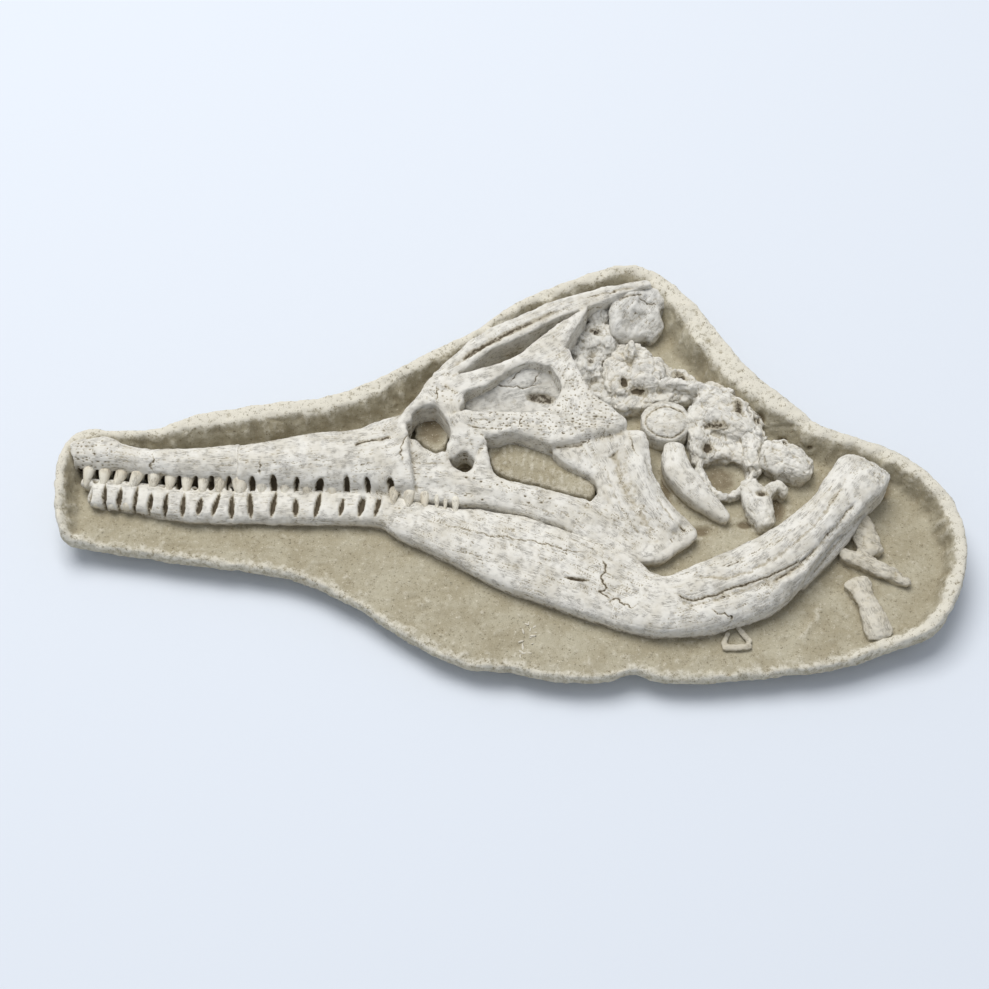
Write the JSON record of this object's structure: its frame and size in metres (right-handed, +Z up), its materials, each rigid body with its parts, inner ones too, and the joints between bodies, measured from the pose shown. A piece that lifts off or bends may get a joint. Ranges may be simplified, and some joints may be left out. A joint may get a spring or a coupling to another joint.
{
  "type": "fossil crocodilian skull in a matrix slab",
  "caption": "Long-snouted fossil crocodilian skull with lower jaw, neck vertebrae and loose bones, lying in a prepared slab of sandy matrix.",
  "frame": {"origin": "on the floor under the middle of the slab", "axes": "+X from the snout to the back of the lower jaw, +Y from the near edge to the far rim, +Z up from the underside"},
  "size_m": [1.1413, 0.6058, 0.106],
  "materials": {
    "matrix": "matt sandy matrix, tool-scraped, with a pale weathered rim",
    "bone": "dry chalky fossil bone, cracked and pitted, with tan stain in its hollows",
    "grey_bone": "smooth grey fossil bone of the inner walls"
  },
  "bodies": {
    "root": {"matrix_slab": "matrix", "snout_tip": "bone", "snout": "bone", "frontal": "bone", "postorbital": "bone", "squamosal": "bone", "parietal": "bone", "far_temporal_bar": "bone", "jugal": "bone", "quadrate": "bone", "braincase_wall": "grey_bone", "occiput": "grey_bone", "far_condyle": "grey_bone", "jaw_front": "bone", "jaw_middle": "bone", "jaw_rear": "bone", "jaw_far_strip": "bone", "pterygoid_blade": "bone", "centrum": "bone", "neck_front": "bone", "neck_middle": "bone", "neck_side": "bone", "neck_rear": "bone", "loose_cross": "bone", "loose_shaft": "bone", "loose_hook": "bone"}
  },
  "joints": []
}
